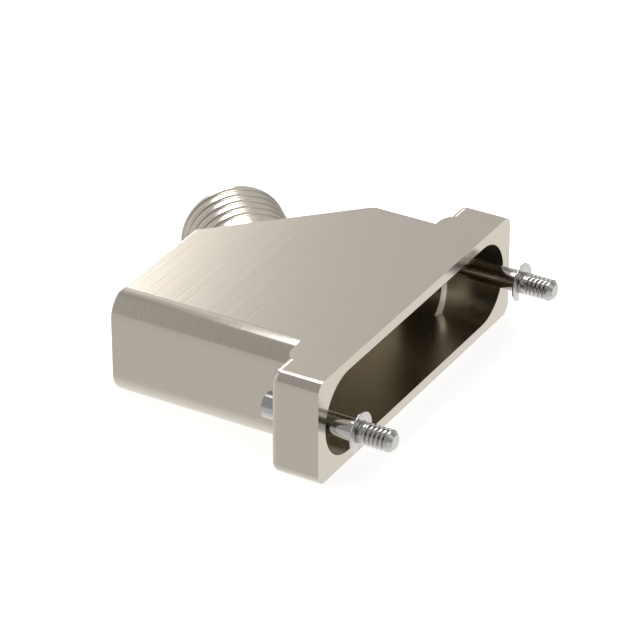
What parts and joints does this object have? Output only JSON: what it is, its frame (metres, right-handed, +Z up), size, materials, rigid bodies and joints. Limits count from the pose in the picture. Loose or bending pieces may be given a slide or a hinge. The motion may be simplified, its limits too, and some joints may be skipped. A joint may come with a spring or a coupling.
{
  "type": "micro-d backshell",
  "caption": "Hollow metal connector backshell with a racetrack mating flange, an angled ringed cable spout and captive jackscrews held by retaining clips.",
  "frame": {"origin": "centre of the flange's mating face, midway between the two jackscrews", "axes": "+X along the flange towards the slanted side, +Y back into the body, away from the mating connector, +Z up"},
  "size_m": [0.0378, 0.037, 0.0108],
  "materials": {
    "nickel_plate": "satin",
    "stainless_screw": "polished",
    "stainless_clip": "satin"
  },
  "bodies": {
    "backshell": {"backshell": "nickel_plate"},
    "clip_left": {"retaining_clip_left": "stainless_clip"},
    "screw_left": {"jackscrew_left": "stainless_screw"},
    "clip_right": {"retaining_clip_right": "stainless_clip"},
    "screw_right": {"jackscrew_right": "stainless_screw"}
  },
  "joints": [
    {"name": "left_slide", "type": "slide", "parent": "backshell", "child": "clip_left", "axis": [0, 1, 0], "range_m": [0, 0.0027]},
    {"name": "left_turn", "type": "hinge", "parent": "clip_left", "child": "screw_left", "pos_m": [-0.01606, 0, 0], "axis": [0, 1, 0], "continuous": true},
    {"name": "right_slide", "type": "slide", "parent": "backshell", "child": "clip_right", "axis": [0, 1, 0], "range_m": [0, 0.0027]},
    {"name": "right_turn", "type": "hinge", "parent": "clip_right", "child": "screw_right", "pos_m": [0.01606, 0, 0], "axis": [0, 1, 0], "continuous": true}
  ]
}
